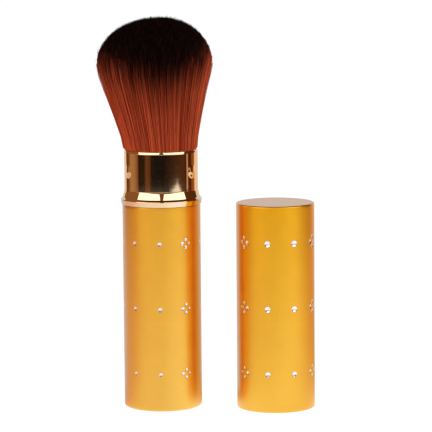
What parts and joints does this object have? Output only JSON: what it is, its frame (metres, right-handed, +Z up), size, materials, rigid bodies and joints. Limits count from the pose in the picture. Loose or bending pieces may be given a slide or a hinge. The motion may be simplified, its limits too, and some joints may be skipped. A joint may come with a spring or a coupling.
{
  "type": "retractable makeup brush",
  "caption": "Retractable powder brush with a drawn tube body, a sliding polished collar that gathers the domed hair, and a matching slip-on cap.",
  "frame": {"origin": "centre of the body's flat base, on the surface that the brush stands on", "axes": "+Z up along the brush, from the base to the hair; -Y towards the front that the picture shows; +X from the brush towards the cap that stands beside it"},
  "size_m": [0.0689, 0.0371, 0.1253],
  "materials": {
    "gold_anodised_aluminium": "satin gold anodised, with bright-cut dimples",
    "polished_pale_gold": "polished pale gold",
    "plain_aluminium": "mill finish",
    "black_plastic": "moulded, fine matt",
    "epoxy": "cast, amber",
    "binding_cord": "twisted cotton",
    "brush_hair": "soft synthetic hair, red-brown with near-black tips"
  },
  "bodies": {
    "handle": {"body_tube": "gold_anodised_aluminium", "body_liner": "black_plastic", "base_plug": "black_plastic", "head_post": "black_plastic", "head_ferrule": "plain_aluminium", "hair_glue": "epoxy", "hair_tie": "binding_cord", "bristles": "brush_hair"},
    "collar_unit": {"collar": "polished_pale_gold", "slide_sleeve": "black_plastic"},
    "cap": {"cap_shell": "gold_anodised_aluminium"}
  },
  "joints": [
    {"name": "collar_slide", "type": "slide", "parent": "handle", "child": "collar_unit", "axis": [0, 0, 1], "range_m": [0, 0.036], "deforming": ["bristles"]},
    {"name": "cap_lift", "type": "slide", "parent": "handle", "child": "cap", "axis": [0, 0, 1], "range_m": [0, 0.15]}
  ]
}
